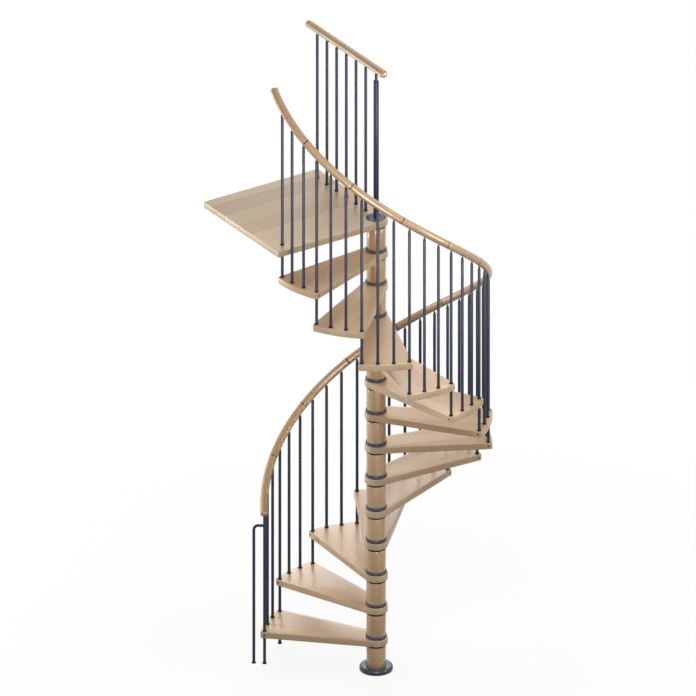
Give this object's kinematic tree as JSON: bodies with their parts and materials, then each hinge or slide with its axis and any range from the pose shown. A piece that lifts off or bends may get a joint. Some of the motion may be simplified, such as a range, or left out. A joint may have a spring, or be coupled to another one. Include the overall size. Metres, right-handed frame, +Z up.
{
  "type": "spiral staircase with timber treads, steel balusters and a square landing",
  "caption": "Spiral staircase round a timber-clad steel column, with wedge-shaped beech treads, thin steel balusters, a round beech handrail and a square landing with its own rail.",
  "frame": {"origin": "on the axis of the column, on the lower floor", "axes": "+Z up along the column; the landing lies along -X and +Y; the flight climbs clockwise seen from above"},
  "size_m": [1.449, 1.449, 4.0509],
  "materials": {
    "tread_beech": "edge-glued beech boards, clear satin lacquer",
    "rail_beech": "turned beech, clear satin lacquer",
    "column_beech": "turned beech sleeves, clear satin lacquer",
    "baluster_steel": "slate grey powder coat, semi-gloss",
    "dark_steel": "dark primer, matt",
    "ring_metal": "blue-grey gloss paint",
    "black_fittings": "black moulded nylon"
  },
  "bodies": {
    "root": {"base_plate": "dark_steel", "base_cover": "ring_metal", "center_pole": "dark_steel", "column_sleeves": "column_beech", "upper_rings": "ring_metal", "lower_rings": "black_fittings", "tread_01": "tread_beech", "tread_02": "tread_beech", "tread_03": "tread_beech", "tread_04": "tread_beech", "tread_05": "tread_beech", "tread_06": "tread_beech", "tread_07": "tread_beech", "tread_08": "tread_beech", "tread_09": "tread_beech", "tread_10": "tread_beech", "tread_11": "tread_beech", "tread_12": "tread_beech", "tread_13": "tread_beech", "landing": "tread_beech", "landing_cap": "ring_metal", "landing_post": "baluster_steel", "landing_balusters": "baluster_steel", "landing_handrail": "rail_beech", "handrail_01": "rail_beech", "handrail_02": "rail_beech", "handrail_03": "rail_beech", "handrail_04": "rail_beech", "handrail_05": "rail_beech", "handrail_06": "rail_beech", "handrail_07": "rail_beech", "handrail_08": "rail_beech", "handrail_09": "rail_beech", "handrail_10": "rail_beech", "handrail_11": "rail_beech", "handrail_12": "rail_beech", "handrail_13": "rail_beech", "long_balusters": "baluster_steel", "short_balusters": "baluster_steel", "baluster_collars": "black_fittings", "tread_ferrules": "black_fittings", "baluster_tips": "black_fittings", "landing_fittings": "black_fittings", "start_tube": "baluster_steel", "floor_feet": "black_fittings"}
  },
  "joints": []
}
